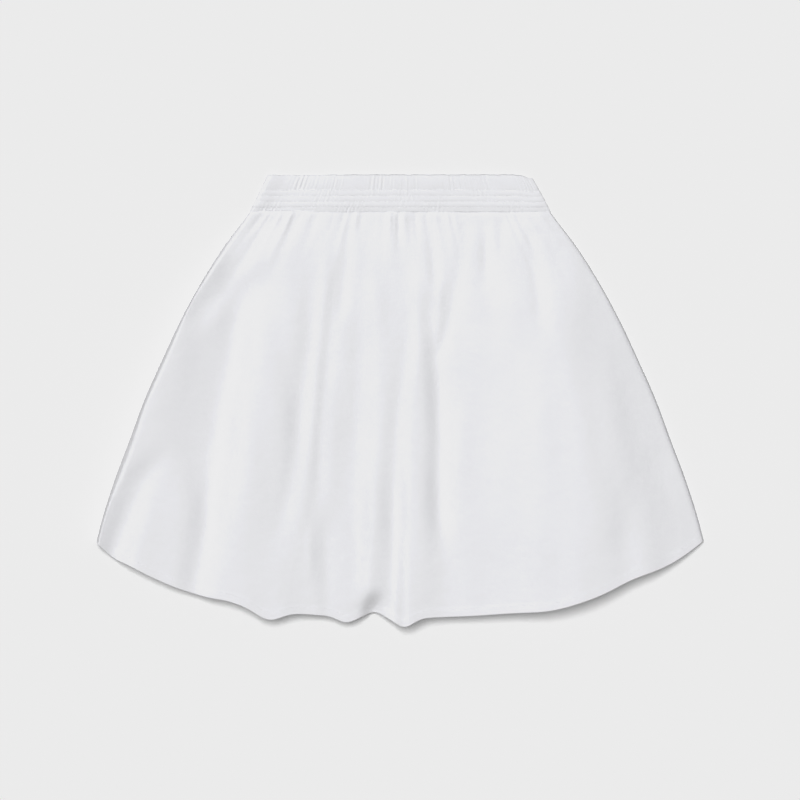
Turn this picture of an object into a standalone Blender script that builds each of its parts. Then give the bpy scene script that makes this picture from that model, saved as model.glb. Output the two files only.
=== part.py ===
# Flared skirt laid flat: a gathered front panel over a flat back panel, and an elasticated waistband in two halves.
# X runs across the skirt, Y from the hem to the waist, and Z up from the surface it lies on.
# Sizes in the tables are in millimetres, and the meshes are in metres.

import bpy
import bmesh
import numpy as np

MM = 0.001

# Cloth and the seams between the pieces
WALL = 1.2
SEAM_GAP = 0.3
BAND_THICKNESS = 2.6

# Waistband: a casing of five channels, wider at its foot where the elastic lets it out
BAND_TOP_Y = 292.28
BAND_HEIGHT = 47.4
BAND_TOP_HALF_WIDTH = 172.3
BAND_FOOT_HALF_WIDTH = 195.6
BACK_BAND_RISE = 1.0
CORNER_DIP = 4.5
CORNER_DIP_WIDTH = 12.0
STITCH_ROWS = (19.0, 26.4, 33.8, 41.4)
STITCH_DIP = 0.5
BAND_EDGE_DIP = 0.7
GATHER_HEIGHT = 0.4
BAND_GATHERS = 48

# Front panel below the waistband
PANEL_TOP_Y = BAND_TOP_Y - BAND_HEIGHT - SEAM_GAP
SIDE_DROP = 427.7
HEM_DROP = 526.5
HEM_CURVE_2 = 41.1
HEM_CURVE_4 = 57.7
PANEL_GATHERS = 24
PANEL_GATHER_HEIGHT = 0.8
PANEL_GATHER_LENGTH = 30.0
FOLD_START_FADE = 18.0

# The right side seam stands up in a small roll: its width, and the share of the cloth's lift it takes
EDGE_ROUND = 7.0
RIGHT_EDGE_SHARE = 0.16

# Lowest place of the front panel's outer side: the back panel, the gap and the panel's own wall
FRONT_FLOOR = WALL + SEAM_GAP + WALL

# Sections down the side seam: distance down, half width, lift of the cloth over the back panel,
# and how far in from each side seam the cloth takes to reach that lift
SECTIONS = (
    # down, half_width, lift, left_shoulder, right_shoulder
    (0.0, 195.6, 1.7, 12, 18),
    (10.4, 203.2, 3.2, 12, 28),
    (36.4, 223.3, 7.4, 12, 50),
    (88.4, 257.1, 11.4, 12, 76),
    (140.4, 285.4, 13.4, 12, 88),
    (192.4, 309.8, 14.6, 12, 94),
    (244.4, 332.8, 15.2, 12, 97),
    (296.4, 352.0, 15.6, 12, 100),
    (348.4, 371.5, 15.6, 12, 103),
    (400.4, 388.1, 15.0, 12, 106),
    (427.7, 395.2, 14.6, 12, 106),
)

# Waves of the hem line along its own arc
HEM_WAVES = (
    # centre_x, half_width, drop
    (-372, 16, 5.0),
    (-224, 22, -2.6),
    (-170, 22, 12.0),
    (-70, 16, 7.6),
    (-33, 14, -5.5),
    (5, 17, 11.5),
    (195, 37, 3.4),
    (302, 37, -6.8),
)

# Valleys where the front panel sinks towards the back: x at five even steps from start to end,
# half widths to the left and right, share of the lift that is lost, and the length of the fade at each end
VALLEYS = (
    # name, start, end, x1, x2, x3, x4, x5, left, right, share_start, share_middle, share_end, fade_in, fade_out
    ("far_left", 290, 480, -300, -330, -350, -367, -383, 24, 18, 0.10, 0.38, 0.75, 60, 0),
    ("left", 60, 530, -192, -219, -238, -249, -275, 21, 18, 0.25, 0.60, 0.26, 60, 0),
    ("left_slope", 50, 410, -180, -213, -231, -244, -253, 56, 28, 0.26, 0.48, 0.34, 60, 110),
    ("left_edge", 0, 170, -166, -193, -222, -250, -275, 24, 18, 0.32, 0.32, 0.28, 15, 60),
    ("first", 20, 450, -107, -114, -126, -141, -158, 14, 12, 0.11, 0.11, 0.14, 30, 90),
    ("second", 50, 400, -80, -90, -98, -103, -106, 10, 12, 0.11, 0.15, 0.12, 50, 70),
    ("second_upper", 12, 155, -64, -67, -71, -75, -80, 8, 8, 0.16, 0.13, 0.10, 12, 40),
    ("second_lower", 385, 540, -93, -95, -96, -96, -96, 10, 12, 0.08, 0.09, 0.08, 40, 0),
    ("third", 12, 520, -44, -52, -56, -57, -58, 11, 13, 0.09, 0.06, 0.07, 20, 60),
    ("middle_sag", 120, 560, -50, -55, -58, -58, -58, 52, 18, 0.10, 0.20, 0.20, 80, 0),
    ("centre", 0, 540, -3, 14, -3, -6, -9, 12, 10, 0.10, 0.12, 0.27, 0, 0),
    ("notch", 484, 560, -27, -32, -35, -35, -35, 17, 15, 0.30, 0.90, 0.97, 36, 0),
    ("fifth", 85, 470, 32, 46, 52, 52, 52, 15, 15, 0.20, 0.36, 0.16, 50, 90),
    ("fifth_upper", 8, 110, 42, 43, 44, 45, 46, 8, 8, 0.20, 0.18, 0.12, 8, 40),
    ("sixth", 8, 205, 86, 80, 72, 60, 42, 10, 10, 0.18, 0.13, 0.13, 10, 30),
    ("seventh", 5, 105, 112, 112, 112, 112, 112, 8, 8, 0.28, 0.22, 0.14, 5, 50),
    ("eighth", 5, 80, 130, 131, 131, 132, 133, 8, 8, 0.25, 0.20, 0.10, 5, 50),
    ("ninth", 15, 175, 169, 173, 178, 182, 187, 10, 14, 0.22, 0.16, 0.10, 15, 60),
    ("dent_inner", 290, 470, 330, 318, 306, 294, 284, 24, 34, 0.05, 0.06, 0.05, 60, 50),
    ("dent_outer", 290, 470, 322, 340, 356, 361, 364, 18, 24, 0.08, 0.09, 0.07, 50, 50),
)

# Ridges where it stands higher, with the same columns and heights in place of shares
RIDGES = (
    # name, start, end, x1, x2, x3, x4, x5, left, right, height_start, height_middle, height_end, fade_in, fade_out
    ("left_brim", 20, 430, -202, -268, -317, -355, -387, 12, 46, 1.5, 3.0, 1.2, 40, 0),
    ("left_hump", 80, 600, -172, -188, -196, -198, -198, 34, 46, 2.0, 3.5, 1.5, 80, 0),
    ("first_ridge", 60, 450, -92, -100, -110, -120, -130, 9, 10, 0.8, 1.0, 0.5, 50, 90),
    ("third_ridge", 60, 560, -32, -26, -30, -38, -46, 12, 14, 1.0, 1.8, 4.5, 60, 0),
    ("flute", 50, 560, 20, 25, 19, 14, 13, 16, 30, 1.4, 3.4, 6.0, 60, 0),
    ("fork", 70, 200, 54, 52, 50, 49, 46, 6, 6, 0.7, 1.0, 0.7, 40, 30),
    ("long_ridge", 230, 470, 76, 75, 74, 74, 74, 11, 16, 0.6, 1.0, 0.6, 60, 70),
    ("small_ridge", 395, 490, -115, -116, -116, -116, -116, 7, 7, 0.6, 1.0, 0.6, 35, 35),
    ("right_hump", 50, 600, 170, 196, 216, 230, 236, 90, 106, 3.5, 11.0, 11.5, 80, 0),
)

# Mesh columns across the front panel, closer where the folds are, as shares of the half width
FRONT_COLUMNS = (
    # from, to, count
    (-1.0, -0.975, 2),
    (-0.975, -0.44, 19),
    (-0.44, 0.20, 50),
    (0.20, 0.975, 25),
    (0.975, 1.0, 2),
)
FRONT_ROWS = (0.0, 0.004, 0.02, 0.045, 0.08, 0.12, 0.165, 0.21, 0.26, 0.31, 0.36, 0.41, 0.46, 0.51,
              0.56, 0.61, 0.66, 0.71, 0.76, 0.81, 0.86, 0.91, 0.955, 1.0)
BACK_COLUMNS = 84
BACK_ROWS = (0.0, 0.02, 0.085, 0.21, 0.33, 0.45, 0.57, 0.69, 0.81, 0.94, 1.0)
BAND_COLUMNS = 176


def smooth_step(low, high, value):
    """0 below low, 1 above high, and an even blend between."""
    share = np.clip((value - low) / (high - low), 0, 1)
    return share * share * (3 - 2 * share)


def curve(x, knots, values):
    """A smooth line through the table's values at its knots."""
    knots, values = np.asarray(knots, float), np.asarray(values, float)
    slopes = np.gradient(values, knots)
    x = np.clip(x, knots[0], knots[-1])
    cell = np.clip(np.searchsorted(knots, x, side="right") - 1, 0, len(knots) - 2)
    width = knots[cell + 1] - knots[cell]
    t = (x - knots[cell]) / width
    start, end = values[cell], values[cell + 1]
    start_slope, end_slope = slopes[cell] * width, slopes[cell + 1] * width
    return (start * (1 + 2 * t) * (1 - t) ** 2 + start_slope * t * (1 - t) ** 2
            + end * t * t * (3 - 2 * t) + end_slope * t * t * (t - 1))


def bump(offset, left, right):
    """One rounded fold section, with its own width on each side."""
    return np.exp(-(offset / np.where(offset < 0, left, right)) ** 2)


def fold(row, x, down):
    """The strength of one row of a fold table at each place."""
    name, start, end, x1, x2, x3, x4, x5, left, right, first, middle, last, fade_in, fade_out = row
    along = np.clip((down - start) / (end - start), 0, 1)
    steps = (0, 0.25, 0.5, 0.75, 1)
    centre = curve(along, steps, (x1, x2, x3, x4, x5))
    size = curve(along, (0, 0.5, 1), (first, middle, last))
    if fade_in:
        size = size * smooth_step(start, start + fade_in, down)
    if fade_out:
        size = size * (1 - smooth_step(end - fade_out, end, down))
    return size * bump(x - centre, left, right)


def hem_drop(u):
    """Distance from the waistband's foot down to the hem, at a share of the half width."""
    x = u * SECTIONS[-1][1]
    drop = HEM_DROP - HEM_CURVE_2 * u ** 2 - HEM_CURVE_4 * u ** 4
    for centre_x, half_width, wave in HEM_WAVES:
        drop = drop + wave * np.exp(-((x - centre_x) / half_width) ** 2)
    return drop + (SIDE_DROP - HEM_DROP + HEM_CURVE_2 + HEM_CURVE_4) * u ** 8


def panel_place(u, v):
    """Where a share across and a share down the panel lies on the surface."""
    downs, half_widths = [row[0] for row in SECTIONS], [row[1] for row in SECTIONS]
    x = u * curve(v * SIDE_DROP, downs, half_widths)
    down = v * hem_drop(u)
    return x, down


def front_lift(u, v):
    """Height of the front panel's outer side over its lowest place."""
    x, down = panel_place(u, v)
    side_down = v * SIDE_DROP
    downs = [row[0] for row in SECTIONS]
    half_width, lift, left_shoulder, right_shoulder = (
        curve(side_down, downs, [row[column] for row in SECTIONS]) for column in (1, 2, 3, 4))
    shoulder = np.where(u < 0, left_shoulder, right_shoulder)
    inward = (1 - np.abs(u)) * half_width
    rounded = np.sqrt(1 - (1 - np.clip(inward / EDGE_ROUND, 0, 1)) ** 2)
    swell = np.sin(np.clip(inward / shoulder, 0, 1) * np.pi / 2)
    rounded_share = np.where(u < 0, 0.0, RIGHT_EDGE_SHARE)
    edge = rounded_share * rounded + (1 - rounded_share) * swell
    height = lift
    for row in RIDGES:
        height = height + fold(row, x, down)
    height = height * edge
    begun = smooth_step(0, FOLD_START_FADE, down)
    for row in VALLEYS:
        height = height * (1 - begun * fold(row, x, down))
    phase = PANEL_GATHERS * np.pi * (u + 0.018 * np.sin(9.0 * u) + 0.011 * np.sin(23.0 * u + 1.0))
    fade = np.exp(-(down / PANEL_GATHER_LENGTH) ** 2)
    strength = 0.75 + 0.25 * np.sin(5.0 * u + 2.0)
    return height + PANEL_GATHER_HEIGHT * strength * fade * edge * (1 + np.sin(phase)) * 0.5 * np.minimum(1, height)


def front_point(u, v):
    x, down = panel_place(u, v)
    return x, PANEL_TOP_Y - down, FRONT_FLOOR + front_lift(u, v)


def back_point(u, v):
    x, down = panel_place(u, v)
    return x, PANEL_TOP_Y - down, WALL + 0 * u


def band_outline(u, down, rise):
    """Where a share across and a distance down the waistband lies on the surface."""
    share = down / BAND_HEIGHT
    x = u * (BAND_TOP_HALF_WIDTH + (BAND_FOOT_HALF_WIDTH - BAND_TOP_HALF_WIDTH) * share)
    corner = CORNER_DIP * np.exp(-((x - BAND_TOP_HALF_WIDTH) / CORNER_DIP_WIDTH) ** 2)
    return x, BAND_TOP_Y + (rise - corner) * (1 - share) - down


def band_relief(u, down):
    """How far the waistband stands below its full thickness: puffed channels and fine gathers."""
    lines = np.array((0.0,) + STITCH_ROWS + (BAND_HEIGHT,))
    cell = np.clip(np.searchsorted(lines, down, side="right") - 1, 0, len(lines) - 2)
    across = (down - lines[cell]) / (lines[cell + 1] - lines[cell])
    puff = np.sin(across * np.pi)
    ends = np.minimum(1, (1 - np.abs(u)) / 0.04)
    outer = (down < 0.01) | (down > BAND_HEIGHT - 0.01)
    phase = BAND_GATHERS * np.pi * (u + 0.010 * np.sin(11.0 * u) + 0.006 * np.sin(29.0 * u + 2.0))
    uneven = 0.65 + 0.35 * np.sin(6.0 * u) * np.sin(17.0 * u + 1.0)
    gathers = GATHER_HEIGHT * uneven * (0.5 - 0.5 * np.sin(phase))
    dip = np.where(outer, BAND_EDGE_DIP, STITCH_DIP)
    return dip * (1 - puff) + gathers * (0.45 + 0.55 * puff) + 0.8 * (1 - ends) ** 2


def front_band_point(u, down):
    x, y = band_outline(u, down, 0.0)
    return x, y, 2 * BAND_THICKNESS + SEAM_GAP - band_relief(u, down)


def back_band_point(u, down):
    x, y = band_outline(u, down, BACK_BAND_RISE)
    return x, y, BAND_THICKNESS - 0.5 * (1 - np.sin(np.clip(down / BAND_HEIGHT, 0, 1) * np.pi))


def material(name, colour, roughness):
    mat = bpy.data.materials.new(name)
    mat.use_nodes = True
    shader = mat.node_tree.nodes["Principled BSDF"]
    shader.inputs["Base Color"].default_value = colour
    shader.inputs["Roughness"].default_value = roughness
    shader.inputs["Metallic"].default_value = 0.0
    mat.diffuse_color = colour
    return mat


def grid_mesh(columns, rows, place):
    """A grid whose vertices are moved to place(column, row), with the last row at the foot."""
    bm = bmesh.new()
    bmesh.ops.create_grid(bm, x_segments=len(columns) - 1, y_segments=len(rows) - 1, size=0.5)
    across = np.array([round((vert.co.x + 0.5) * (len(columns) - 1)) for vert in bm.verts])
    down = np.array([round((0.5 - vert.co.y) * (len(rows) - 1)) for vert in bm.verts])
    points = np.stack(place(np.asarray(columns)[across], np.asarray(rows)[down]), axis=1) * MM
    for vert, point in zip(bm.verts, points):
        vert.co = point
    return bm


def add_object(name, bm, mat, collection):
    bmesh.ops.recalc_face_normals(bm, faces=bm.faces)
    mesh = bpy.data.meshes.new(name)
    bm.to_mesh(mesh)
    bm.free()
    obj = bpy.data.objects.new(name, mesh)
    mesh.materials.append(mat)
    collection.objects.link(obj)
    return obj


def panel(name, columns, rows, place, mat, collection):
    """A cloth wall hung below the grid that gives its outer side."""
    bm = grid_mesh(columns, rows, place)
    mesh = bpy.data.meshes.new(name)
    bm.to_mesh(mesh)
    bm.free()
    obj = bpy.data.objects.new(name, mesh)
    mesh.materials.append(mat)
    collection.objects.link(obj)
    wall = obj.modifiers.new("Wall", "SOLIDIFY")
    wall.thickness = WALL * MM
    wall.offset = -1
    return obj


def band(name, place, foot_z, mat, collection):
    """Half of the waistband: a gathered upper side closed down to a flat underside."""
    lines = (0.0,) + STITCH_ROWS + (BAND_HEIGHT,)
    downs = sorted(lines + tuple((a + b) / 2 for a, b in zip(lines, lines[1:])))
    columns = np.linspace(-1, 1, BAND_COLUMNS + 1)
    bm = grid_mesh(columns, downs, place)
    rim = [edge for edge in bm.edges if edge.is_boundary]
    walls = bmesh.ops.extrude_edge_only(bm, edges=rim)["geom"]
    for vert in (item for item in walls if isinstance(item, bmesh.types.BMVert)):
        vert.co.z = foot_z * MM
    bmesh.ops.holes_fill(bm, edges=[edge for edge in bm.edges if edge.is_boundary])
    return add_object(name, bm, mat, collection)


for old in list(bpy.data.objects):
    bpy.data.objects.remove(old, do_unlink=True)

skirt = bpy.data.collections.new("flared_skirt")
bpy.context.scene.collection.children.link(skirt)

front_columns = np.concatenate(
    [np.linspace(start, end, count + 1)[:-1] for start, end, count in FRONT_COLUMNS] + [[1.0]])
front_cloth = material("front_cloth", (0.86, 0.86, 0.87, 1), 0.85)
back_cloth = material("back_cloth", (0.85, 0.85, 0.86, 1), 0.85)
front_band_cloth = material("front_band_cloth", (0.86, 0.86, 0.87, 1), 0.85)
back_band_cloth = material("back_band_cloth", (0.85, 0.85, 0.86, 1), 0.85)

panel("front_panel", front_columns, FRONT_ROWS, front_point, front_cloth, skirt)
panel("back_panel", np.linspace(-1, 1, BACK_COLUMNS + 1), BACK_ROWS, back_point, back_cloth, skirt)
band("waistband_front", front_band_point, BAND_THICKNESS + SEAM_GAP, front_band_cloth, skirt)
band("waistband_back", back_band_point, 0.0, back_band_cloth, skirt)
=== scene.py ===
# %% [markdown]
# This lesson dresses the plain solids of a white flared skirt, laid flat, as real cloth.
# The skirt lies on its back panel and is seen from straight above,
# so its look comes from low folds and soft light.
# Each step names its sizes first, builds one piece, and prints what it measured.
# The solids are loaded first, because the cloth has to fill the same space.

import bpy
import numpy as np
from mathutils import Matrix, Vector


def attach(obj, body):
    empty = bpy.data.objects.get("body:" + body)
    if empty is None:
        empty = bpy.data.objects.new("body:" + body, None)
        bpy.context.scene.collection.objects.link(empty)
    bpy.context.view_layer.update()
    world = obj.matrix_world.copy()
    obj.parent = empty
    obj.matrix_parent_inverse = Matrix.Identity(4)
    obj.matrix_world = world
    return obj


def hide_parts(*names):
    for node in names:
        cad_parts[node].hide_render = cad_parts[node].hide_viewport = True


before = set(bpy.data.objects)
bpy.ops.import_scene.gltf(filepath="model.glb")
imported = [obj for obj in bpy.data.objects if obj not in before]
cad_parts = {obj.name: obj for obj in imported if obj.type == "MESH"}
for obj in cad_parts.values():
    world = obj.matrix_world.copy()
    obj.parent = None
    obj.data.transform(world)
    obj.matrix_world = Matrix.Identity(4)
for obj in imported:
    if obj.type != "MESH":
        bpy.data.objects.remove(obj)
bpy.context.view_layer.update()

# %% [markdown]
# Clothes laid flat are photographed from straight above.
# An orthographic camera would show them with no perspective, but a real lens hangs a few metres up,
# so a long lens at its real distance is used here. It takes in a little over a metre of the floor.

# %% Set the camera over the skirt
PICTURE_WIDTH = 1.043
LENS = 85.0
SENSOR = 36.0

scene = bpy.context.scene
scene.view_settings.view_transform = "Standard"
camera_data = bpy.data.cameras.new("camera")
camera_data.lens = LENS
camera_data.sensor_width = SENSOR
camera = bpy.data.objects.new("camera", camera_data)
camera.location = (0.0, 0.0, PICTURE_WIDTH * LENS / SENSOR)
scene.collection.objects.link(camera)
scene.camera = camera
print("camera height, m:", round(camera.location.z, 3))

# %% [markdown]
# On white cloth only the light shows the form, because a slope darkens as it turns away from it.
# Several area lamps could do this, but one broad sun lights every place alike,
# and an even sky fills the folds. The sun stands nearly overhead, a little to the upper left.
# Its spread, an angle in radians, softens the shadow under the hem.

# %% Light it softly from nearly overhead
SUN_FROM = (-0.15, 0.215, 1.0)
SUN_STRENGTH = 2.97
SUN_SPREAD = 0.85
SKY_STRENGTH = 0.12

sun_data = bpy.data.lights.new("sun", "SUN")
sun_data.energy = SUN_STRENGTH
sun_data.angle = SUN_SPREAD
sun = bpy.data.objects.new("sun", sun_data)
sun.rotation_euler = Vector(SUN_FROM).to_track_quat("Z", "Y").to_euler()
scene.collection.objects.link(sun)
world = bpy.data.worlds.new("sky")
world.use_nodes = True
sky = world.node_tree.nodes["Background"]
sky.inputs["Color"].default_value = (1.0, 1.0, 1.0, 1.0)
sky.inputs["Strength"].default_value = SKY_STRENGTH
scene.world = world
print("sun and sky strengths:", SUN_STRENGTH, SKY_STRENGTH)

# %% [markdown]
# A product photograph is printed with firm whites: the lightest tones come together just under paper white,
# and the tones below them are a little darker than in life. The compositor could do it in nodes,
# but a curve in the view settings is simpler and stays with the scene.

# %% Print it with the firm whites of a product photograph
TONES = (
    # light in, light out
    (0.0, 0.0),
    (0.30, 0.235),
    (0.55, 0.440),
    (0.70, 0.610),
    (0.80, 0.780),
    (0.83, 0.833),
    (1.0, 0.860),
)

scene.view_settings.use_curve_mapping = True
tone_curve = scene.view_settings.curve_mapping.curves[3]
tone_curve.points[0].location = TONES[0]
tone_curve.points[1].location = TONES[-1]
for light_in, light_out in TONES[1:-1]:
    tone_curve.points.new(light_in, light_out)
scene.view_settings.curve_mapping.update()
print("tone curve points:", len(tone_curve.points))

# %% [markdown]
# A woven pattern is a product of waves. Its nodes could be added and linked one by one,
# which hides the pattern in a long list.
# A small class that wraps a socket lets it be written as an ordinary product.

# %% Wrap a socket for shader maths
class Shade:
    """A shader socket that Python's own operators work on."""

    def __init__(self, tree, socket):
        self.tree = tree
        self.socket = socket

    def add(self, kind, inputs, output=0, **settings):
        """Adds a node with these settings and inputs, and gives one of its outputs."""
        node = self.tree.nodes.new(kind)
        for name, value in settings.items():
            setattr(node, name, value)
        for name, value in inputs.items():
            if isinstance(value, Shade):
                self.tree.links.new(value.socket, node.inputs[name])
            else:
                node.inputs[name].default_value = value
        return Shade(self.tree, node.outputs[output])

    def maths(self, operation, first, second=0.0):
        """Adds a Math node."""
        return self.add("ShaderNodeMath", {0: first, 1: second}, operation=operation)

    def __mul__(self, other):
        return self.maths("MULTIPLY", self, other)

    def __rmul__(self, other):
        return self.maths("MULTIPLY", other, self)

    def sine(self):
        """The sine of the value, as a new socket."""
        return self.maths("SINE", self)


print("a wrapped socket can be multiplied and put through a sine")

# %% [markdown]
# The skirt is a matt, white, plain-weave cloth. Its threads could be modelled, at millions of faces,
# but they are finer than a pixel of the picture, so they are a shallow bump over the mesh.
# A second, softer bump gives the faint unevenness that pressing leaves.

# %% Mix the cloth
THREAD_PITCH = 0.0007
THREAD_DEPTH = 0.00006
SOFT_SCALE = 55.0
SOFT_DEPTH = 0.0005
TINT_SCALE = 9.0
TINT_LIGHTER = 1.01
TINT_DARKER = 0.985
CLOTH_ROUGHNESS = 0.9
THREAD_ROUGHNESS = 0.6
CLOTH_SPECULAR = 0.15


def cloth_material(name, colour, roughness=CLOTH_ROUGHNESS):
    """A matt material with a plain weave, a soft unevenness and a very faint change of tint."""
    mat = bpy.data.materials.new(name)
    mat.use_nodes = True
    tree = mat.node_tree
    shader = tree.nodes["Principled BSDF"]
    shader.inputs["Roughness"].default_value = roughness
    shader.inputs["Specular IOR Level"].default_value = CLOTH_SPECULAR
    base = Shade(tree, None)
    place = base.add("ShaderNodeTexCoord", {}, output="Object")
    x = base.add("ShaderNodeSeparateXYZ", {"Vector": place}, output="X")
    y = base.add("ShaderNodeSeparateXYZ", {"Vector": place}, output="Y")
    turn = 2 * np.pi / THREAD_PITCH
    weave = (x * turn).sine() * (y * turn).sine()
    soft = base.add("ShaderNodeTexNoise", {"Vector": place, "Scale": SOFT_SCALE, "Detail": 3.0}, output="Fac")
    soft_relief = {"Height": soft, "Strength": 1.0, "Distance": SOFT_DEPTH}
    bump = base.add("ShaderNodeBump", soft_relief, output="Normal")
    weave_relief = {"Height": weave, "Strength": 0.5, "Distance": THREAD_DEPTH, "Normal": bump}
    bump = base.add("ShaderNodeBump", weave_relief, output="Normal")
    tree.links.new(bump.socket, shader.inputs["Normal"])
    tint_cloud = {"Vector": place, "Scale": TINT_SCALE, "Detail": 2.0}
    cloud = base.add("ShaderNodeTexNoise", tint_cloud, output="Fac")
    lighter = tuple(min(1.0, part * TINT_LIGHTER) for part in colour) + (1.0,)
    darker = tuple(part * TINT_DARKER for part in colour) + (1.0,)
    tint = base.add("ShaderNodeMix", {"Factor": cloud, 6: darker, 7: lighter}, output=2, data_type="RGBA")
    tree.links.new(tint.socket, shader.inputs["Base Color"])
    return mat


WHITE = (0.786, 0.786, 0.798)
THREAD_WHITE = (0.80, 0.80, 0.81)
front_cloth = cloth_material("front_cloth", WHITE)
back_cloth = cloth_material("back_cloth", WHITE)
front_band_cloth = cloth_material("front_band_cloth", WHITE)
back_band_cloth = cloth_material("back_band_cloth", WHITE)
thread = cloth_material("thread", THREAD_WHITE, THREAD_ROUGHNESS)
print("materials:", [mat.name for mat in bpy.data.materials if mat.name.endswith(("cloth", "thread"))])

# %% [markdown]
# A flared skirt is cut wider at its hem than at its waist, so it can't lie smooth:
# the extra cloth stands up in folds. A cloth simulation would fold it by chance.
# A table with a row for each fold puts every fold in its own place.
# The tables are those of the solids: the outline, the lift of the cloth off the back panel,
# and each valley and ridge. Only the left edge folds down more sharply here.
# Sizes are in millimetres until a mesh is made.

# %% Name the sizes
MM = 0.001
WALL = 1.2
SEAM_GAP = 0.3
BAND_THICKNESS = 2.6
BAND_TOP_Y = 292.28
BAND_HEIGHT = 47.4
BAND_TOP_HALF_WIDTH = 172.3
BAND_FOOT_HALF_WIDTH = 195.6
BACK_BAND_RISE = 1.0
CORNER_DIP = 4.5
CORNER_DIP_WIDTH = 12.0
STITCH_ROWS = (19.0, 26.4, 33.8, 41.4)
BAND_GATHERS = 48
PANEL_TOP_Y = BAND_TOP_Y - BAND_HEIGHT - SEAM_GAP
SIDE_DROP = 427.7
HEM_DROP = 526.5
# The hem rises from its middle to its ends by a square and a fourth power,
# and the second of them brings its ends to the feet of the side seams.
HEM_CURVE_2 = 41.1
HEM_CURVE_4 = HEM_DROP - SIDE_DROP - HEM_CURVE_2
EDGE_ROUND = 7.0
RIGHT_EDGE_SHARE = 0.16
LEFT_SHARPER = 0.5
LEFT_UNEVEN = 0.4
LEFT_SHORT_WAVE = 31.0
LEFT_LONG_WAVE = 73.0
FOLD_START_FADE = 18.0
FRONT_FLOOR = WALL + SEAM_GAP + WALL

SECTIONS = (
    # down, half_width, lift, left_shoulder, right_shoulder
    (0.0, 195.6, 1.7, 12, 18),
    (10.4, 203.2, 3.2, 12, 28),
    (36.4, 223.3, 7.4, 12, 50),
    (88.4, 257.1, 11.4, 12, 76),
    (140.4, 285.4, 13.4, 12, 88),
    (192.4, 309.8, 14.6, 12, 94),
    (244.4, 332.8, 15.2, 12, 97),
    (296.4, 352.0, 15.6, 12, 100),
    (348.4, 371.5, 15.6, 12, 103),
    (400.4, 388.1, 15.0, 12, 106),
    (427.7, 395.2, 14.6, 12, 106),
)

HEM_WAVES = (
    # centre_x, half_width, drop
    (-372, 16, 5.0),
    (-224, 22, -2.6),
    (-170, 22, 12.0),
    (-70, 16, 7.6),
    (-33, 14, -5.5),
    (5, 17, 11.5),
    (195, 37, 3.4),
    (302, 37, -6.8),
)

# A fold runs from start to end down the cloth, at x1 to x5 across it, as wide as left and right.
# First, middle and last give its strength: a share of the lift for a valley, a height for a ridge.
VALLEYS = (
    # name, start, end, x1, x2, x3, x4, x5, left, right, first, middle, last, fade_in, fade_out
    ("far_left", 290, 480, -300, -330, -350, -367, -383, 24, 18, 0.10, 0.38, 0.75, 60, 0),
    ("left", 60, 530, -192, -219, -238, -249, -275, 21, 18, 0.25, 0.60, 0.26, 60, 0),
    ("left_slope", 50, 410, -180, -213, -231, -244, -253, 56, 28, 0.26, 0.48, 0.34, 60, 110),
    ("left_edge", 0, 170, -166, -193, -222, -250, -275, 24, 18, 0.32, 0.32, 0.28, 15, 60),
    ("first", 20, 450, -107, -114, -126, -141, -158, 14, 12, 0.11, 0.11, 0.14, 30, 90),
    ("second", 50, 400, -80, -90, -98, -103, -106, 10, 12, 0.11, 0.15, 0.12, 50, 70),
    ("second_upper", 12, 155, -64, -67, -71, -75, -80, 8, 8, 0.16, 0.13, 0.10, 12, 40),
    ("second_lower", 385, 540, -93, -95, -96, -96, -96, 10, 12, 0.08, 0.09, 0.08, 40, 0),
    ("third", 12, 520, -44, -52, -56, -57, -58, 11, 13, 0.09, 0.06, 0.07, 20, 60),
    ("middle_sag", 120, 560, -50, -55, -58, -58, -58, 52, 18, 0.10, 0.20, 0.20, 80, 0),
    ("centre", 0, 540, -3, 14, -3, -6, -9, 12, 10, 0.10, 0.12, 0.27, 0, 0),
    ("notch", 484, 560, -27, -32, -35, -35, -35, 17, 15, 0.30, 0.90, 0.97, 36, 0),
    ("fifth", 85, 470, 32, 46, 52, 52, 52, 15, 15, 0.20, 0.36, 0.16, 50, 90),
    ("fifth_upper", 8, 110, 42, 43, 44, 45, 46, 8, 8, 0.20, 0.18, 0.12, 8, 40),
    ("sixth", 8, 205, 86, 80, 72, 60, 42, 10, 10, 0.18, 0.13, 0.13, 10, 30),
    ("seventh", 5, 105, 112, 112, 112, 112, 112, 8, 8, 0.28, 0.22, 0.14, 5, 50),
    ("eighth", 5, 80, 130, 131, 131, 132, 133, 8, 8, 0.25, 0.20, 0.10, 5, 50),
    ("ninth", 15, 175, 169, 173, 178, 182, 187, 10, 14, 0.22, 0.16, 0.10, 15, 60),
    ("dent_inner", 290, 470, 330, 318, 306, 294, 284, 24, 34, 0.05, 0.06, 0.05, 60, 50),
    ("dent_outer", 290, 470, 322, 340, 356, 361, 364, 18, 24, 0.08, 0.09, 0.07, 50, 50),
)

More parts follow.
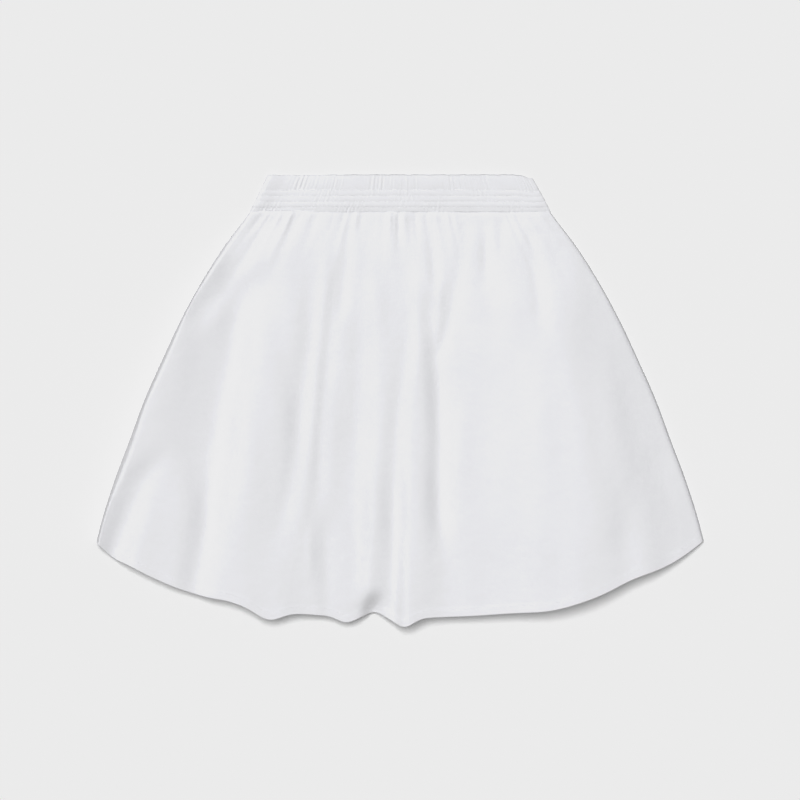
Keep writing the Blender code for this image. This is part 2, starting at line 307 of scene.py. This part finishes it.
RIDGES = (
    # name, start, end, x1, x2, x3, x4, x5, left, right, first, middle, last, fade_in, fade_out
    ("left_brim", 20, 430, -202, -268, -317, -355, -387, 12, 46, 1.5, 3.0, 1.2, 40, 0),
    ("left_hump", 80, 600, -172, -188, -196, -198, -198, 34, 46, 2.0, 3.5, 1.5, 80, 0),
    ("first_ridge", 60, 450, -92, -100, -110, -120, -130, 9, 10, 0.8, 1.0, 0.5, 50, 90),
    ("third_ridge", 60, 560, -32, -26, -30, -38, -46, 12, 14, 1.0, 1.8, 4.5, 60, 0),
    ("flute", 50, 560, 20, 25, 19, 14, 13, 16, 30, 1.4, 3.4, 6.0, 60, 0),
    ("fork", 70, 200, 54, 52, 50, 49, 46, 6, 6, 0.7, 1.0, 0.7, 40, 30),
    ("long_ridge", 230, 470, 76, 75, 74, 74, 74, 11, 16, 0.6, 1.0, 0.6, 60, 70),
    ("small_ridge", 395, 490, -115, -116, -116, -116, -116, 7, 7, 0.6, 1.0, 0.6, 35, 35),
    ("right_hump", 50, 600, 170, 196, 216, 230, 236, 90, 106, 3.5, 11.0, 11.5, 80, 0),
)
print(len(SECTIONS), "sections,", len(VALLEYS), "valleys and", len(RIDGES), "ridges")

# %% [markdown]
# Cloth runs smoothly through the few places that a table names.
# A curve object could be drawn through them and sampled,
# but one short function does it for whole arrays at once, and it passes through every row.
# A fold is a rounded section that follows such a line and fades at its ends.

# %% Read a smooth line from a table
def smooth_step(low, high, value):
    """0 below low, 1 above high, and an even blend between."""
    share = np.clip((value - low) / (high - low), 0, 1)
    return share * share * (3 - 2 * share)


def curve(x, knots, values):
    """A smooth line through the table's values at its knots."""
    knots, values = np.asarray(knots, float), np.asarray(values, float)
    slopes = np.gradient(values, knots)
    x = np.clip(x, knots[0], knots[-1])
    cell = np.clip(np.searchsorted(knots, x, side="right") - 1, 0, len(knots) - 2)
    width = knots[cell + 1] - knots[cell]
    t = (x - knots[cell]) / width
    start, end = values[cell], values[cell + 1]
    start_slope, end_slope = slopes[cell] * width, slopes[cell + 1] * width
    return (start * (1 + 2 * t) * (1 - t) ** 2 + start_slope * t * (1 - t) ** 2
            + end * t * t * (3 - 2 * t) + end_slope * t * t * (t - 1))


def section(side_down, column):
    """One column of the sections, at each distance down the side seam."""
    return curve(side_down, [row[0] for row in SECTIONS], [row[column] for row in SECTIONS])


def fold(row, x, down):
    """The strength of one fold at each place: a rounded section with its own width on each side."""
    start, end, x1, x2, x3, x4, x5, left, right, first, middle, last, fade_in, fade_out = row[1:]
    along = np.clip((down - start) / (end - start), 0, 1)
    offset = x - curve(along, (0, 0.25, 0.5, 0.75, 1), (x1, x2, x3, x4, x5))
    size = curve(along, (0, 0.5, 1), (first, middle, last))
    if fade_in:
        size = size * smooth_step(start, start + fade_in, down)
    if fade_out:
        size = size * (1 - smooth_step(end - fade_out, end, down))
    return size * np.exp(-(offset / np.where(offset < 0, left, right)) ** 2)


print("half width of the skirt half way down, mm:", round(float(section(SIDE_DROP / 2, 1)), 1))

# %% [markdown]
# The front panel's shape is its outline from above and its height off the back panel. It could be sculpted,
# but heights worked out from the tables can be changed one fold at a time.
# A place is a share across and a share down: the outline turns the shares into a position,
# and the lift says how high the cloth stands there.

# %% Place a point on a panel
def hem_drop(u):
    """Distance from the waistband's foot down to the hem, at a share of the half width."""
    x = u * SECTIONS[-1][1]
    drop = HEM_DROP - HEM_CURVE_2 * u ** 2 - HEM_CURVE_4 * u ** 4
    for centre_x, half_width, wave in HEM_WAVES:
        drop = drop + wave * np.exp(-((x - centre_x) / half_width) ** 2)
    return drop


def panel_place(u, v):
    """The distance across and the distance down, at a share across and a share down."""
    return u * section(v * SIDE_DROP, 1), v * hem_drop(u)


def front_lift(u, v):
    """Height of the front panel's outer side over its lowest place, from the main folds."""
    x, down = panel_place(u, v)
    side_down = np.maximum(v, 0) * SIDE_DROP
    uneven = 1 + LEFT_UNEVEN * np.sin(side_down / LEFT_SHORT_WAVE + 1.0) * np.sin(side_down / LEFT_LONG_WAVE)
    shoulder = np.where(u < 0, section(side_down, 3) * LEFT_SHARPER * uneven, section(side_down, 4))
    inward = (1 - np.abs(u)) * section(side_down, 1)
    rounded = np.sqrt(1 - (1 - np.clip(inward / EDGE_ROUND, 0, 1)) ** 2)
    swell = np.sin(np.clip(inward / shoulder, 0, 1) * np.pi / 2)
    rounded_share = np.where(u < 0, 0.0, RIGHT_EDGE_SHARE)
    edge = rounded_share * rounded + (1 - rounded_share) * swell
    height = section(side_down, 2)
    for row in RIDGES:
        height = height + fold(row, x, down)
    height = height * edge
    begun = smooth_step(0, FOLD_START_FADE, down)
    for row in VALLEYS:
        height = height * (1 - begun * fold(row, x, down))
    return height, edge


middle_lift, _ = front_lift(np.zeros(1), np.full(1, 0.5))
print("lift at the middle of the front, mm:", round(float(middle_lift[0]), 1))

# %% [markdown]
# Gathering leaves short, uneven puckers under the waistband. A noise texture could raise them,
# but it has no direction, and these all start at the seam and run down.
# So each has its own place, length, width and depth, drawn from one seeded generator.
# A slow waviness keeps the broad areas from looking ironed flat.

# %% Add the puckers and the slow waviness
PUCKERS = 64
PUCKER_SEED = 11
random = np.random.default_rng(PUCKER_SEED)
pucker_places = np.sort(random.uniform(-0.96, 0.96, PUCKERS))
pucker_widths = random.uniform(2.2, 5.0, PUCKERS)
pucker_lengths = random.uniform(18.0, 85.0, PUCKERS) * random.uniform(0.5, 1.0, PUCKERS)
pucker_heights = random.uniform(0.3, 1.0, PUCKERS) * random.choice([-1.0, 1.0], PUCKERS)
WAVES = 14
wave_angles = random.uniform(-0.5, 0.5, WAVES)
wave_lengths = random.uniform(45.0, 130.0, WAVES)
wave_phases = random.uniform(0, 2 * np.pi, WAVES)
WAVE_HEIGHT = 0.16


def small_folds(u, v):
    """Puckers under the waistband and the slow waviness of the cloth, in millimetres."""
    x, down = panel_place(u, v)
    height = np.zeros_like(x)
    for place, width, length, size in zip(pucker_places, pucker_widths, pucker_lengths, pucker_heights):
        spread = width * (1 + np.maximum(down, 0) / 60.0)
        offset = (u - place) * section(np.maximum(v, 0) * SIDE_DROP, 1)
        height += size * np.exp(-(offset / spread) ** 2) * np.exp(-(np.maximum(down, 0) / length) ** 2)
    for angle, length, phase in zip(wave_angles, wave_lengths, wave_phases):
        across = x * np.cos(angle) + down * np.sin(angle)
        height += WAVE_HEIGHT * np.sin(2 * np.pi * across / length + phase)
    return height


print("puckers:", PUCKERS, "and waves:", WAVES)

# %% [markdown]
# Cloth is a thin wall whose edges turn over softly.
# A Solidify modifier would give the wall, but with a square rim.
# Here the outer side is a grid of points, the inner side is the same grid moved in along its normals,
# and a rounded rim joins the two all round.

# %% Find a grid's normals and its edge
def grid_normals(points):
    """Unit normals of a grid of points, with its rows running down the cloth."""
    across = np.gradient(points, axis=1)
    down = np.gradient(points, axis=0)
    normals = np.cross(down, across)
    return normals / np.linalg.norm(normals, axis=2, keepdims=True)


def boundary(rows, columns):
    """Grid places round the edge, in order."""
    top = [(0, c) for c in range(columns)]
    right = [(r, columns - 1) for r in range(1, rows)]
    foot = [(rows - 1, c) for c in range(columns - 2, -1, -1)]
    left = [(r, 0) for r in range(rows - 2, 0, -1)]
    return np.array(top + right + foot + left)


print("places round the edge of a 3 by 3 grid:", len(boundary(3, 3)))

# %% Round the rim and list the faces
RIM_BULGE = 0.5


def rim_points(points, inner, normals, ring):
    """A line of points between the two sides, which bulges outwards by a share of the wall."""
    outer_rim = points[ring[:, 0], ring[:, 1]]
    inner_rim = inner[ring[:, 0], ring[:, 1]]
    along = np.roll(outer_rim, -1, axis=0) - np.roll(outer_rim, 1, axis=0)
    outward = np.cross(along, normals[ring[:, 0], ring[:, 1]])
    outward /= np.linalg.norm(outward, axis=1, keepdims=True)
    middle = points.reshape(-1, 3).mean(axis=0)
    if np.einsum("ij,ij->i", outward, outer_rim - middle).mean() < 0:
        outward = -outward
    height = np.linalg.norm(outer_rim - inner_rim, axis=1, keepdims=True)
    return (outer_rim + inner_rim) / 2 + outward * height * RIM_BULGE


def wall_faces(rows, columns, ring):
    """Faces of both sides and of the rim, for the outer points, the inner points and the rim's."""
    count = rows * columns
    index = np.arange(count).reshape(rows, columns)
    quads = np.stack([index[:-1, :-1], index[1:, :-1], index[1:, 1:], index[:-1, 1:]], axis=-1)
    quads = quads.reshape(-1, 4)
    ring_outer = index[ring[:, 0], ring[:, 1]]
    ring_inner = ring_outer + count
    ring_middle = 2 * count + np.arange(len(ring))
    step = np.roll(np.arange(len(ring)), -1)
    upper = np.stack([ring_outer, ring_outer[step], ring_middle[step], ring_middle], axis=-1)
    lower = np.stack([ring_middle, ring_middle[step], ring_inner[step], ring_inner], axis=-1)
    return np.concatenate([quads, quads[:, ::-1] + count, upper, lower])


print("faces of a wall from a 3 by 3 grid:", len(wall_faces(3, 3, boundary(3, 3))))

# %% Close a grid into a wall
def add_piece(name, points, faces, mat):
    """A smooth piece of the skirt, from points in millimetres and their faces."""
    mesh = bpy.data.meshes.new(name)
    mesh.from_pydata((points * MM).tolist(), [], faces)
    mesh.update()
    mesh.materials.append(mat)
    obj = bpy.data.objects.new(name, mesh)
    scene.collection.objects.link(obj)
    bpy.ops.object.select_all(action="DESELECT")
    bpy.context.view_layer.objects.active = obj
    obj.select_set(True)
    bpy.ops.object.shade_smooth()
    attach(obj, "root")
    return obj


def wall(name, points, thickness, mat, flip=False):
    """A closed wall under the grid of points, in millimetres, with a rounded rim."""
    rows, columns = points.shape[:2]
    normals = grid_normals(points) * (-1 if flip else 1)
    inner = points - normals * np.broadcast_to(thickness, (rows, columns))[..., None]
    ring = boundary(rows, columns)
    rim = rim_points(points, inner, normals, ring)
    both_sides = np.concatenate([points.reshape(-1, 3), inner.reshape(-1, 3), rim])
    obj = add_piece(name, both_sides, wall_faces(rows, columns, ring).tolist(), mat)
    bpy.ops.object.mode_set(mode="EDIT")
    bpy.ops.mesh.select_all(action="SELECT")
    bpy.ops.mesh.normals_make_consistent(inside=False)
    bpy.ops.object.mode_set(mode="OBJECT")
    return obj


def count_triangles(obj):
    """Triangles in an object's mesh."""
    return sum(len(polygon.vertices) - 2 for polygon in obj.data.polygons)


print("rim's bulge, as a share of the wall:", RIM_BULGE)

# %% [markdown]
# The front is one flared piece with a narrow turned hem. A subdivided plane could be pushed into shape,
# but a grid worked out from the lift has its columns closest where the folds are, so fewer of them do.
# The last rows make the hem, the first row tucks in under the waistband,
# and the side edges roll down to the back panel.

# %% Shape the front panel
CLOTH = 0.75
HEM_DEPTH = 11.0
HEM_THICKER = 0.22
HEM_GROOVE = 0.12
HEM_GROOVE_WIDTH = 0.9
HEM_STITCHES_UP = HEM_DEPTH - 1.6
SEAM_MEETING = 0.95
EDGE_ROLL = 2.2
TUCK = 0.004
TUCK_DEPTH = 0.6
SMALL_FOLD_ROOM = 2.0
SMALL_FOLDS_AT_SEAM = 0.3
SMALL_FOLD_FADE = 8.0

COLUMN_BANDS = (
    # from share, to share, columns
    (-1.0, -0.985, 12),
    (-0.985, -0.46, 68),
    (-0.46, 0.22, 148),
    (0.22, 0.98, 78),
    (0.98, 1.0, 10),
)
HEM_ROWS = (1.0, 0.9985, 0.996, 0.992, 0.988, 0.9845, 0.982, 0.9795, 0.977, 0.973, 0.968)


def spaced(bands):
    """Shares from one end to the other, closer in some bands than in others."""
    parts = [np.linspace(start, end, steps + 1)[:-1] for start, end, steps in bands]
    return np.concatenate(parts + [[bands[-1][1]]])


def front_surface(u, v):
    """The front panel's outer side, in millimetres."""
    x, down = panel_place(u, v)
    lift, edge = front_lift(u, v)
    begun = SMALL_FOLDS_AT_SEAM + (1 - SMALL_FOLDS_AT_SEAM) * smooth_step(0, SMALL_FOLD_FADE, down)
    lift = lift + small_folds(u, v) * edge * np.minimum(1, lift / SMALL_FOLD_ROOM) * begun
    from_hem = (1 - v) * hem_drop(u)
    hem = HEM_THICKER * (1 - smooth_step(HEM_DEPTH - 1.0, HEM_DEPTH + 1.2, from_hem))
    groove = HEM_GROOVE * np.exp(-((from_hem - HEM_STITCHES_UP) / HEM_GROOVE_WIDTH) ** 2)
    tucked = TUCK_DEPTH * (1 - smooth_step(-1.0, 1.8, down))
    z = FRONT_FLOOR + lift + hem - groove - tucked
    inward = (1 - np.abs(u)) * section(v * SIDE_DROP, 1)
    roll = np.sqrt(np.clip(1 - (1 - np.clip(inward / EDGE_ROLL, 0, 1)) ** 2, 0, 1))
    z = SEAM_MEETING + CLOTH + (z - SEAM_MEETING - CLOTH) * roll
    return np.stack([x, PANEL_TOP_Y - down, z], axis=-1)


front_u = spaced(COLUMN_BANDS)
print("columns across the front:", len(front_u))

# %% Build the front panel
upper_rows = np.linspace(0.0, 0.2, 36)[1:]
lower_rows = np.linspace(0.2, HEM_ROWS[-1], 96)[1:-1]
front_v = np.concatenate([[-TUCK, 0.0], upper_rows, lower_rows, HEM_ROWS[::-1]])
grid_u, grid_v = np.meshgrid(front_u, front_v)
front = wall("skirt_front", front_surface(grid_u, grid_v), CLOTH, front_cloth)
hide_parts("front_panel")
print("skirt_front triangles:", count_triangles(front))

# %% [markdown]
# The back is cut like the front and lies on the surface, so its underside is flat
# apart from shallow creases where the cloth was not smoothed out.
# It could be a flat copy of the outline, but seen from below that would look like card.
# So it has its own table of creases, placed like those in front.

# %% Shape the back panel
BACK_FOLDS = (
    # name, start, end, x1, x2, x3, x4, x5, left, right, first, middle, last, fade_in, fade_out
    ("back_far_left", 250, 480, -262, -282, -300, -318, -334, 14, 10, 0.6, 1.1, 0.9, 50, 0),
    ("back_left", 60, 540, -128, -160, -188, -208, -226, 10, 16, 0.5, 1.3, 1.0, 60, 0),
    ("back_left_short", 10, 220, -94, -104, -114, -122, -128, 6, 8, 0.8, 0.7, 0.4, 10, 60),
    ("back_middle_left", 30, 540, -46, -54, -60, -64, -66, 9, 13, 0.6, 1.2, 1.3, 30, 0),
    ("back_middle", 8, 330, -8, -4, 2, 5, 6, 7, 8, 0.9, 0.8, 0.4, 8, 90),
    ("back_middle_low", 300, 540, 26, 28, 31, 34, 36, 12, 9, 0.5, 1.0, 1.4, 60, 0),
    ("back_middle_right", 12, 430, 44, 54, 66, 76, 84, 8, 12, 0.8, 1.1, 0.5, 12, 80),
    ("back_right_short", 10, 170, 108, 112, 117, 123, 130, 7, 6, 0.8, 0.6, 0.4, 10, 60),
    ("back_right", 80, 540, 140, 168, 192, 210, 224, 15, 10, 0.5, 1.3, 0.9, 70, 0),
    ("back_far_right", 230, 470, 240, 268, 292, 312, 328, 10, 14, 0.6, 1.0, 0.8, 50, 0),
)
BACK_CREASE_MOST = 0.9
BACK_CREASE_ROOM = 0.12
BACK_EDGE_RISE = 0.15
BACK_HEM_GROOVE = 0.2


def back_surface(u, v):
    """The back panel's underside, in millimetres."""
    x, down = panel_place(u, v)
    lift, edge = front_lift(u, v)
    crease = sum(fold(row, x, down) for row in BACK_FOLDS) * edge
    crease = np.minimum(crease, BACK_CREASE_MOST + BACK_CREASE_ROOM * lift)
    from_hem = (1 - v) * hem_drop(u)
    groove = BACK_HEM_GROOVE * np.exp(-((from_hem - HEM_STITCHES_UP) / HEM_GROOVE_WIDTH) ** 2)
    inward = (1 - np.abs(u)) * section(v * SIDE_DROP, 1)
    rise = BACK_EDGE_RISE * (1 - smooth_step(0, EDGE_ROLL, inward))
    return np.stack([x, PANEL_TOP_Y - down, crease + groove + rise], axis=-1)


print("creases on the back:", len(BACK_FOLDS))

# %% Build the back panel
back_u = spaced(((-1.0, -0.97, 5), (-0.97, 0.97, 230), (0.97, 1.0, 5)))
back_v = np.concatenate([np.linspace(0.0, HEM_ROWS[-1], 110)[:-1], HEM_ROWS[::-1]])
grid_u, grid_v = np.meshgrid(back_u, back_v)
back = wall("skirt_back", back_surface(grid_u, grid_v), CLOTH, back_cloth, flip=True)
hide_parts("back_panel")
print("skirt_back triangles:", count_triangles(back))

# %% [markdown]
# The band is a casing with elastic in it. Four stitch rows part it into channels,
# which puff up between the rows, and the elastic draws the cloth into fine upright gathers.
# Pressure in a cloth simulation could puff the channels, but the gathers would need a very fine mesh,
# so puffs and gathers are waves worked out for each channel.

# %% Name the waistband's sizes
BAND_LINES = (0.0,) + STITCH_ROWS + (BAND_HEIGHT,)
BAND_FULL_TOP = 2 * BAND_THICKNESS + SEAM_GAP
CHANNEL_PUFFS = (0.70, 0.36, 0.34, 0.34, 0.30)
CHANNEL_GATHERS = (0.85, 0.50, 0.42, 0.46, 0.60)
FINE_GATHERS = 76
BAND_RIPPLE = 0.35
BACK_BAND_RELIEF = 0.55
BACK_WAVE_SHIFT = 2.4
BAND_WALL = 2.2
BAND_TOP_THINNER = 0.6
BAND_FOOT_WALL = 0.35
BAND_FOOT_DROP = 0.95
BAND_FOOT_ROLL = 9.0
BAND_LEFT_ROLL = 8.0
BAND_RIGHT_ROLL = 24.0
BAND_END_DROP = 2.1
BAND_END_WALL = 0.7
STITCH_GROOVE = 0.11
STITCH_GROOVE_WIDTH = 0.6
LEFT_DIP = 1.7
LEFT_DIP_PLACE = 27.0
LEFT_DIP_OUTER = 15.0
LEFT_DIP_INNER = 50.0
print("channels in the waistband:", len(CHANNEL_PUFFS))

# %% Shape the waistband
def band_outline(u, down, rise):
    """Where a share across and a distance down the waistband lies on the surface."""
    share = down / BAND_HEIGHT
    x = u * (BAND_TOP_HALF_WIDTH + (BAND_FOOT_HALF_WIDTH - BAND_TOP_HALF_WIDTH) * share)
    corner = CORNER_DIP * np.exp(-((x - BAND_TOP_HALF_WIDTH) / CORNER_DIP_WIDTH) ** 2)
    ripple = BAND_RIPPLE * np.sin(61.0 * u + 0.7) * np.sin(23.0 * u) * (1 - share) ** 3
    return x, BAND_TOP_Y + (rise - corner) * (1 - share) + ripple - down


# No two waves below have lengths in a simple ratio, so no two channels look alike.
def band_relief(u, down, wave_shift):
    """How far the band's outer side stands below its full thickness."""
    lines = np.array(BAND_LINES)
    cell = np.clip(np.searchsorted(lines, down, side="right") - 1, 0, len(lines) - 2)
    across = np.clip((down - lines[cell]) / (lines[cell + 1] - lines[cell]), 0, 1)
    puff = np.sin(across * np.pi) ** 0.75
    shift = 0.9 * cell + wave_shift
    tall = np.array(CHANNEL_PUFFS)[cell] * (0.75 + 0.25 * np.sin(7.0 * u + 2.1 * shift))
    uneven = 0.010 * np.sin(11.0 * u + shift) + 0.006 * np.sin(29.0 * u + 2.0 + shift)
    phase = BAND_GATHERS * np.pi * (u + uneven)
    finer = FINE_GATHERS * np.pi * (u + 0.012 * np.sin(13.0 * u + 1.3 * shift))
    group = (0.5 + 0.5 * np.sin(6.0 * u + shift) * np.sin(17.0 * u + 1.0)) ** 1.5
    wave = group * (0.5 - 0.2 * np.sin(phase) - 0.3 * np.sin(finer))
    pinch = 0.6 + 0.4 * puff
    grooves = sum(np.exp(-((down - row) / STITCH_GROOVE_WIDTH) ** 2) for row in STITCH_ROWS) * STITCH_GROOVE
    foot = BAND_FOOT_DROP * smooth_step(BAND_HEIGHT - BAND_FOOT_ROLL, BAND_HEIGHT, down)
    return tall * (1 - puff) + np.array(CHANNEL_GATHERS)[cell] * wave * pinch + grooves + foot


def band_end(u, down):
    """How far the band's outer side has sunk towards its ends, where it rolls over the side seams."""
    half = BAND_TOP_HALF_WIDTH + (BAND_FOOT_HALF_WIDTH - BAND_TOP_HALF_WIDTH) * down / BAND_HEIGHT
    inward = (1 - np.abs(u)) * half
    roll = np.where(u < 0, BAND_LEFT_ROLL, BAND_RIGHT_ROLL)
    sunk = BAND_END_DROP * (1 - np.sin(np.clip(inward / roll, 0, 1) * np.pi / 2)) ** 1.3
    past = inward - LEFT_DIP_PLACE
    dip = LEFT_DIP * np.exp(-(past / np.where(past < 0, LEFT_DIP_OUTER, LEFT_DIP_INNER)) ** 2)
    return sunk + np.where(u < 0, dip, 0.0)


def front_band_surface(u, down):
    """The front band's outer side, in millimetres."""
    x, y = band_outline(u, down, 0.0)
    z = BAND_FULL_TOP - band_relief(u, down, wave_shift=0.0) - band_end(u, down)
    return np.stack([x, y, z], axis=-1)


def back_band_surface(u, down):
    """The back band's underside, in millimetres."""
    x, y = band_outline(u, down, BACK_BAND_RISE)
    z = BACK_BAND_RELIEF * band_relief(u, down, BACK_WAVE_SHIFT)
    return np.stack([x, y, z], axis=-1)


middle = front_band_surface(np.zeros(1), np.full(1, STITCH_ROWS[0] / 2))
print("height of the band's top channel at the middle, mm:", round(float(middle[0, 2]), 2))

# %% Build the two halves of the waistband
band_u = np.linspace(-1, 1, 641)
top_channel = [np.linspace(0, 1.5, 4)[:-1], np.linspace(1.5, STITCH_ROWS[0] - 0.6, 13)]
at_stitches = [np.linspace(row - 0.6, row + 0.6, 4) for row in STITCH_ROWS]
between = [np.linspace(low + 1.2, high - 1.2, 6) for low, high in zip(BAND_LINES[1:], BAND_LINES[2:])]
foot = [[BAND_HEIGHT - 0.4, BAND_HEIGHT]]
band_down = np.unique(np.round(np.concatenate(top_channel + at_stitches + between + foot), 3))
grid_u, grid_down = np.meshgrid(band_u, band_down)
at_foot = smooth_step(BAND_HEIGHT - 4.0, BAND_HEIGHT - 2.5, grid_down)
band_wall = BAND_WALL + (BAND_FOOT_WALL - BAND_WALL) * at_foot
band_wall = band_wall - BAND_TOP_THINNER * (1 - smooth_step(0, 3, grid_down))
band_wall = np.maximum(BAND_END_WALL, band_wall - band_end(grid_u, grid_down))
front_points = front_band_surface(grid_u, grid_down)
back_points = back_band_surface(grid_u, grid_down)
band_front = wall("waistband_front_casing", front_points, band_wall, front_band_cloth)
band_back = wall("waistband_back_casing", back_points, band_wall, back_band_cloth,
                 flip=True)
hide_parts("waistband_front")
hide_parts("waistband_back")
print("waistband triangles:", count_triangles(band_front), "and", count_triangles(band_back))

# %% [markdown]
# Rows of machine stitches hold the elastic, and one row holds the hem. A bump map could draw them,
# but they show as small raised threads from close by. So one stitch is modelled,
# as a short rounded thread, and copied along every row. Each copy sits on the cloth and leans with it.

# %% Model one stitch
STITCH_PITCH = 3.1
STITCH_LENGTH = 2.3
STITCH_RADIUS = 0.22

bpy.ops.object.select_all(action="DESELECT")
bpy.ops.mesh.primitive_uv_sphere_add(segments=8, ring_count=6, radius=1.0)
stitch_model = bpy.context.object
bpy.ops.object.mode_set(mode="EDIT")
bpy.ops.mesh.select_all(action="SELECT")
bpy.ops.transform.resize(value=(STITCH_LENGTH / 2, STITCH_RADIUS, STITCH_RADIUS))
bpy.ops.object.mode_set(mode="OBJECT")
stitch_points = np.array([vertex.co[:] for vertex in stitch_model.data.vertices])
stitch_faces = [tuple(polygon.vertices) for polygon in stitch_model.data.polygons]
bpy.data.objects.remove(stitch_model, do_unlink=True)
print("points in one stitch:", len(stitch_points))

# %% Sew the rows
def along_line(line, travelled, distance):
    """The point at a distance along a line of surface points."""
    return np.array([np.interp(distance, travelled, line[:, axis]) for axis in range(3)])


def sew(name, lines):
    """Copies the stitch along each line of surface points, and joins the copies."""
    points, faces = [], []
    for line in lines:
        steps = np.linalg.norm(np.diff(line, axis=0), axis=1)
        travelled = np.concatenate([[0], np.cumsum(steps)])
        centres = np.arange(STITCH_PITCH, travelled[-1] - STITCH_PITCH, STITCH_PITCH)
        for centre in centres:
            start = along_line(line, travelled, centre - STITCH_LENGTH / 2)
            end = along_line(line, travelled, centre + STITCH_LENGTH / 2)
            along = (end - start) / np.linalg.norm(end - start)
            across = np.cross((0.0, 0.0, 1.0), along)
            across /= np.linalg.norm(across)
            axes = np.stack([along, across, np.cross(along, across)])
            first_point = len(points) * len(stitch_points)
            faces += [tuple(index + first_point for index in face) for face in stitch_faces]
            points.append(stitch_points @ axes + (start + end) / 2)
    print(name, "stitches:", len(points))
    return add_piece(name, np.concatenate(points), faces, thread)


BAND_STITCH_LIFT = (0, 0, 0.10)
FRONT_HEM_STITCH_LIFT = (0, 0, 0.08)
BACK_HEM_STITCH_LIFT = (0, 0, 0.05)
ROW_END = 0.985
row_u = np.linspace(-ROW_END, ROW_END, 700)
front_rows = [front_band_surface(row_u, np.full_like(row_u, row)) + BAND_STITCH_LIFT for row in STITCH_ROWS]
back_rows = [back_band_surface(row_u, np.full_like(row_u, row)) - BAND_STITCH_LIFT for row in STITCH_ROWS]
hem_v = 1 - HEM_STITCHES_UP / hem_drop(row_u)
front_hem = front_surface(row_u, hem_v) + FRONT_HEM_STITCH_LIFT
back_hem = back_surface(row_u, hem_v) - BACK_HEM_STITCH_LIFT
waist_stitches_front = sew("waist_stitches_front", front_rows)
waist_stitches_back = sew("waist_stitches_back", back_rows)
hem_stitches_front = sew("hem_stitches_front", [front_hem])
hem_stitches_back = sew("hem_stitches_back", [back_hem])

# %% [markdown]
# A pattern cutter knows each piece by its flat size. It could be measured on the mesh,
# but folds and gathers take some of it up.
# Here the pieces are only listed by name.

# %% List the cloth pieces
print("flat sizes stated for:", [piece.name for piece in (front, back, band_front, band_back)])

# %% [markdown]
# The skirt lies on a white studio surface. A curved backdrop is usual for standing things,
# but from straight above a plain plane does.
# It takes the soft shadow round the hem, and it stays out of the object.

# %% Lay the floor
FLOOR_SIZE = 8.0
FLOOR_HEIGHT = -0.0002
FLOOR_GREY = (0.80, 0.80, 0.80, 1.0)
bpy.ops.object.select_all(action="DESELECT")
bpy.ops.mesh.primitive_plane_add(size=FLOOR_SIZE, location=(0.0, 0.0, FLOOR_HEIGHT))
floor = bpy.context.object
floor.name = "floor"
floor_paint = bpy.data.materials.new("floor_paint")
floor_paint.use_nodes = True
floor_shader = floor_paint.node_tree.nodes["Principled BSDF"]
floor_shader.inputs["Base Color"].default_value = FLOOR_GREY
floor_shader.inputs["Roughness"].default_value = 1.0
floor_shader.inputs["Specular IOR Level"].default_value = 0.0
floor.data.materials.append(floor_paint)
print("floor, m:", FLOOR_SIZE)
